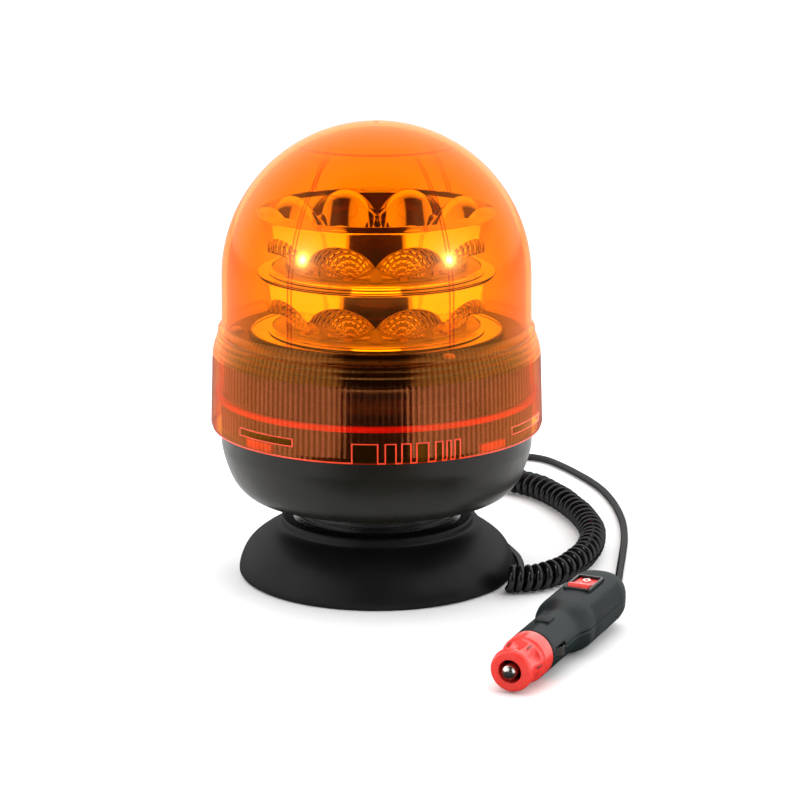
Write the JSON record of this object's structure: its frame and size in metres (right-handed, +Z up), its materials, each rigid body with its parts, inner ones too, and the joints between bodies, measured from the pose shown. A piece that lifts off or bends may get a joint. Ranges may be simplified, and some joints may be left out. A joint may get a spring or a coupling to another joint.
{
  "type": "magnetic led warning beacon",
  "caption": "Amber LED warning beacon: domed lens with a ribbed skirt on a black housing and rubber-booted magnet foot, with a curly cord to a 12 V plug with a rocker switch.",
  "frame": {"origin": "centre of the magnet foot's underside, on the surface that it stands on", "axes": "+Z up along the beacon's turning axis, +Y towards the cable gland at the back, +X towards the curly cord"},
  "size_m": [0.2078, 0.3876, 0.22],
  "materials": {
    "amber_lens": "clear amber polycarbonate, polished",
    "housing_black": "satin olive-black moulding",
    "black_plastic": "fine satin",
    "boot_rubber": "matt, slightly greyed",
    "steel": "zinc plated",
    "ferrite": "sintered",
    "seal_silicone": "soft, satin",
    "board_green": "solder mask",
    "board_white": "white solder mask",
    "led_lens": "amber LED chips on their strip",
    "mirror": "vacuum metallised",
    "aluminium": "turned",
    "copper": "enamelled copper wire",
    "cord_rubber": "smooth jacket, semi gloss",
    "wire_red": "insulated wire",
    "wire_black": "insulated wire",
    "plug_black": "blue-black, satin gloss",
    "plug_red": "gloss",
    "nickel": "nickel plated",
    "fuse_glass": "glass tube with metal caps"
  },
  "bodies": {
    "base": {"base_housing": "housing_black", "deck_plate": "housing_black", "mount_flange": "housing_black", "gland_body": "black_plastic", "gland_lock_nut": "black_plastic", "gland_nut": "black_plastic", "board_carrier": "black_plastic", "lower_dish": "black_plastic", "plug_core": "black_plastic", "switch_bezel": "black_plastic", "capacitor_1": "black_plastic", "capacitor_2": "black_plastic", "driver_chip": "black_plastic", "magnet_boot": "boot_rubber", "foot_pad": "boot_rubber", "housing_gasket": "boot_rubber", "magnet_pot": "steel", "pole_core": "steel", "foot_bolt": "steel", "foot_nut": "steel", "tie_rod": "steel", "rod_nut": "steel", "deck_screw_1": "steel", "deck_screw_2": "steel", "deck_screw_3": "steel", "board_screw_1": "steel", "board_screw_2": "steel", "board_screw_3": "steel", "pin_spring": "steel", "ring_magnet": "ferrite", "lens_seal": "seal_silicone", "driver_board": "board_green", "terminal_block": "board_green", "lower_led_board": "board_white", "upper_led_board": "board_white", "lower_leds": "led_lens", "upper_leds": "led_lens", "lower_reflector": "mirror", "upper_reflector": "mirror", "heat_post": "aluminium", "upper_plate": "aluminium", "choke": "copper", "exit_lead": "cord_rubber", "curly_cord": "cord_rubber", "plug_lead": "cord_rubber", "inner_lead": "cord_rubber", "cord_sleeve": "cord_rubber", "plug_grommet": "cord_rubber", "harness_red": "wire_red", "harness_black": "wire_black", "plug_shell_top": "plug_black", "plug_shell_bottom": "plug_black", "plug_fuse": "fuse_glass"},
    "lens": {"lens_dome": "amber_lens"},
    "rocker_switch": {"rocker": "plug_red"},
    "nose_adapter": {"adapter_nose": "plug_red"},
    "tip_pin": {"centre_pin": "nickel"},
    "left_contact": {"side_contact_left": "nickel"},
    "right_contact": {"side_contact_right": "nickel"}
  },
  "joints": [
    {"name": "lens_turn", "type": "hinge", "parent": "base", "child": "lens", "pos_m": [0, 0, 0.08], "axis": [0, 0, 1], "range_deg": [0, 18]},
    {"name": "rocker_tilt", "type": "hinge", "parent": "base", "child": "rocker_switch", "pos_m": [0.09424, -0.10137, 0.02291], "axis": [0.9063, -0.4226, 0], "range_deg": [0, 20]},
    {"name": "adapter_turn", "type": "hinge", "parent": "base", "child": "nose_adapter", "pos_m": [0.06206, -0.17039, 0.0104], "axis": [-0.4224, -0.9059, -0.0303], "range_deg": [0, 40]},
    {"name": "pin_push", "type": "slide", "parent": "base", "child": "tip_pin", "axis": [0.4224, 0.9059, 0.0303], "range_m": [0, 0.003], "stiffness_N_per_m": 600, "springref_m": -0.002},
    {"name": "left_contact_push", "type": "slide", "parent": "base", "child": "left_contact", "axis": [-0.9063, 0.4226, 0], "range_m": [0, 0.0013], "stiffness_N_per_m": 800, "springref_m": -0.0005},
    {"name": "right_contact_push", "type": "slide", "parent": "base", "child": "right_contact", "axis": [0.9063, -0.4226, 0], "range_m": [0, 0.0013], "stiffness_N_per_m": 800, "springref_m": -0.0005}
  ]
}
